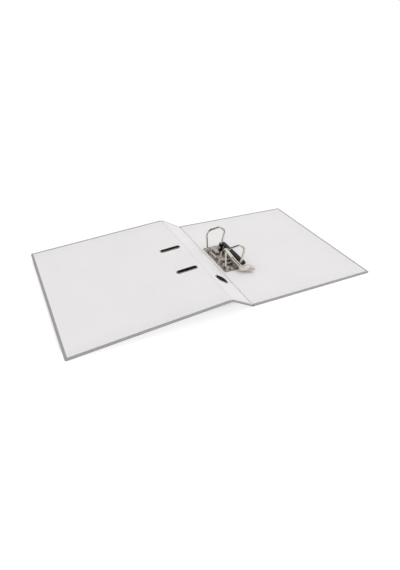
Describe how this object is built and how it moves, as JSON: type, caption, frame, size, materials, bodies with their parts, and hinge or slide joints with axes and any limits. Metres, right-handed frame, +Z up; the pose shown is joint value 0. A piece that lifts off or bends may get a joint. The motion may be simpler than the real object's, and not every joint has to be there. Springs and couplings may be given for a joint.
{
  "type": "lever arch file",
  "caption": "Board file lying open, with a lever-operated pair of arches for punched paper, a folding spine with a finger hole, and slots that lock the cover over the arches.",
  "frame": {"origin": "middle of the back cover's underside, on the table", "axes": "+X across the back cover from its crease to its free edge, +Y from the foot to the head of the page, +Z up off the table"},
  "size_m": [0.6107, 0.318, 0.0548],
  "materials": {
    "grey_wrap": "matt coated paper",
    "grey_board": "raw grey board",
    "white_lining": "smooth matt paper",
    "eyelet_steel": "nickel plated",
    "nickel_sheet": "bright nickel plate",
    "nickel_wire": "bright nickel plate",
    "spring_steel": "plain drawn wire",
    "roller_plastic": "moulded",
    "grey_plastic": "moulded",
    "black_plastic": "moulded"
  },
  "bodies": {
    "back_cover": {"back_wrap": "grey_wrap", "back_board": "grey_board", "back_lining": "white_lining", "back_crease": "grey_wrap", "base_plate": "nickel_sheet", "plate_rivets": "nickel_sheet", "post_bottom": "nickel_wire", "post_top": "nickel_wire", "lever_bracket": "nickel_sheet", "lever_pin": "nickel_wire", "bow_spring": "spring_steel"},
    "spine": {"spine_wrap": "grey_wrap", "spine_board": "grey_board", "spine_lining": "white_lining", "finger_ring": "eyelet_steel", "front_crease": "grey_wrap"},
    "front_cover": {"front_wrap": "grey_wrap", "front_board": "grey_board", "front_lining": "white_lining", "slot_eyelets": "eyelet_steel"},
    "bow": {"bow": "nickel_wire"},
    "lever": {"lever": "nickel_sheet", "roller_pin": "nickel_wire", "thumb_tab": "grey_plastic"},
    "roller": {"roller": "roller_plastic"},
    "compressor_bar": {"compressor_bar": "black_plastic"}
  },
  "joints": [
    {"name": "spine_fold", "type": "hinge", "parent": "back_cover", "child": "spine", "pos_m": [-0.142, 0, 0.00025], "axis": [0, -1, 0], "range_deg": [-60.6, 0], "deforming": ["back_crease"]},
    {"name": "front_fold", "type": "hinge", "parent": "spine", "child": "front_cover", "pos_m": [-0.18556, 0, 0.0248], "axis": [0, -1, 0], "range_deg": [-124.36, 0], "deforming": ["front_crease"]},
    {"name": "lever_lift", "type": "hinge", "parent": "back_cover", "child": "lever", "pos_m": [-0.101, 0.012, 0.012], "axis": [-1, 0, 0], "range_deg": [0, 65]},
    {"name": "bow_swing", "type": "hinge", "parent": "back_cover", "child": "bow", "pos_m": [-0.1292, 0, 0.0054], "axis": [0, -1, 0], "range_deg": [0, 55.25], "deforming": ["bow_spring"]},
    {"name": "roller_spin", "type": "hinge", "parent": "lever", "child": "roller", "pos_m": [-0.10339, -0.013, 0.0105], "axis": [1, 0, 0], "continuous": true},
    {"name": "compressor_slide", "type": "slide", "parent": "back_cover", "child": "compressor_bar", "axis": [0.1736, 0, 0.9848], "range_m": [0, 0.022]}
  ],
  "couplings": [
    {"joint": "bow_swing", "follows": "lever_lift", "ratio": 0.85}
  ]
}
